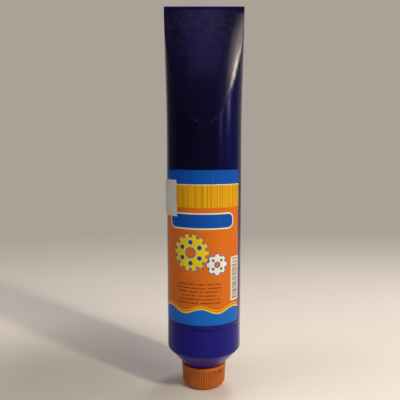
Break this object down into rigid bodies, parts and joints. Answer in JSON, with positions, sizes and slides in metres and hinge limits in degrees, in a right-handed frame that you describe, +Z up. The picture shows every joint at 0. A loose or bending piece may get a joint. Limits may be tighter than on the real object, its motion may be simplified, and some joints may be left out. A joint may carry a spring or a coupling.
{
  "type": "squeeze tube of grease with a screw cap",
  "caption": "Plastic squeeze tube of grease with a cone shoulder, a flat welded end, a wrap label and a ribbed screw cap that it stands on and unscrews from.",
  "frame": {"origin": "centre of the flat foot of the cap, on the tube's axis", "axes": "+Z up the tube's axis to the welded seam, the label faces -Y, the seam runs along X"},
  "size_m": [0.0506, 0.0483, 0.245],
  "materials": {
    "cap_plastic": "satin",
    "liner_foam": "matte",
    "tube_plastic": "gloss",
    "grease": "satin",
    "label_film": "satin",
    "sticker_paper": "matte"
  },
  "bodies": {
    "cap": {"screw_cap": "cap_plastic"},
    "liner": {"cap_liner": "liner_foam"},
    "tube": {"tube_body": "tube_plastic", "grease_fill": "grease", "front_label": "label_film", "price_sticker": "sticker_paper"}
  },
  "joints": [
    {"name": "tube_twist", "type": "hinge", "parent": "cap", "child": "liner", "pos_m": [0, 0, 0.004], "axis": [0, 0, 1], "range_deg": [0, 1440]},
    {"name": "tube_lift", "type": "slide", "parent": "liner", "child": "tube", "axis": [0, 0, 1], "range_m": [0, 0.012]}
  ],
  "couplings": [
    {"joint": "tube_lift", "follows": "tube_twist", "m_per_rad": 0.00047746}
  ]
}
